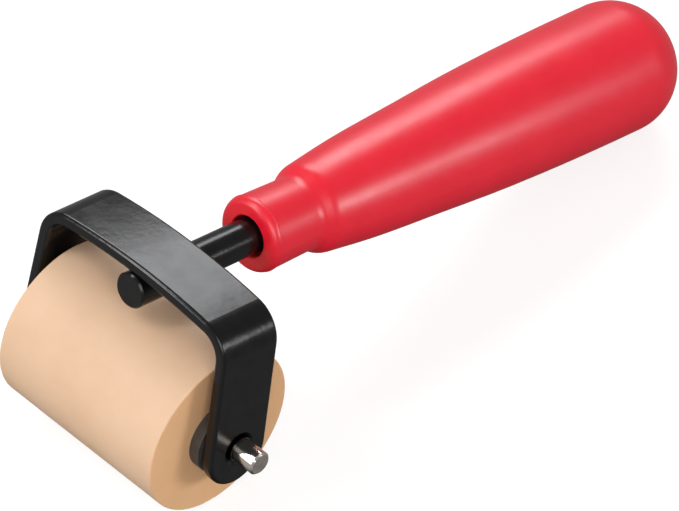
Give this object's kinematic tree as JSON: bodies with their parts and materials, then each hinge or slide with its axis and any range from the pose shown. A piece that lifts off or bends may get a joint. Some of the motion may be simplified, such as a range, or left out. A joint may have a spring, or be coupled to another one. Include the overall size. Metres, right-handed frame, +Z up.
{
  "type": "rubber brayer",
  "caption": "Hand brayer: a soft rubber roller turning on a pin in a bent steel fork, on a round shank with a swelling moulded handle.",
  "frame": {"origin": "on the table, in the middle of the footprint, with the roller and the handle's butt resting on the table", "axes": "+Z up from the table, +Y from the roller towards the handle's butt, +X along the roller's axle to the right as seen from the roller's end looking at the handle"},
  "size_m": [0.0724, 0.1884, 0.0568],
  "materials": {
    "gum_rubber": "matte tan gum rubber, ground smooth",
    "black_enamel": "glossy black baked enamel",
    "nickel": "bright nickel plate",
    "red_plastic": "satin-gloss red moulded plastic",
    "grey_nylon": "dark grey moulded nylon",
    "core_steel": "plain drawn tube"
  },
  "bodies": {
    "frame": {"fork": "black_enamel", "shank": "black_enamel", "handle": "red_plastic", "axle_pin": "nickel"},
    "roller": {"roller_rubber": "gum_rubber", "roller_core": "core_steel", "hub_left": "grey_nylon", "hub_right": "grey_nylon"}
  },
  "joints": [
    {"name": "roller_spin", "type": "hinge", "parent": "frame", "child": "roller", "pos_m": [-0.00305, -0.07327, 0.0209], "axis": [1, 0, 0], "continuous": true}
  ]
}
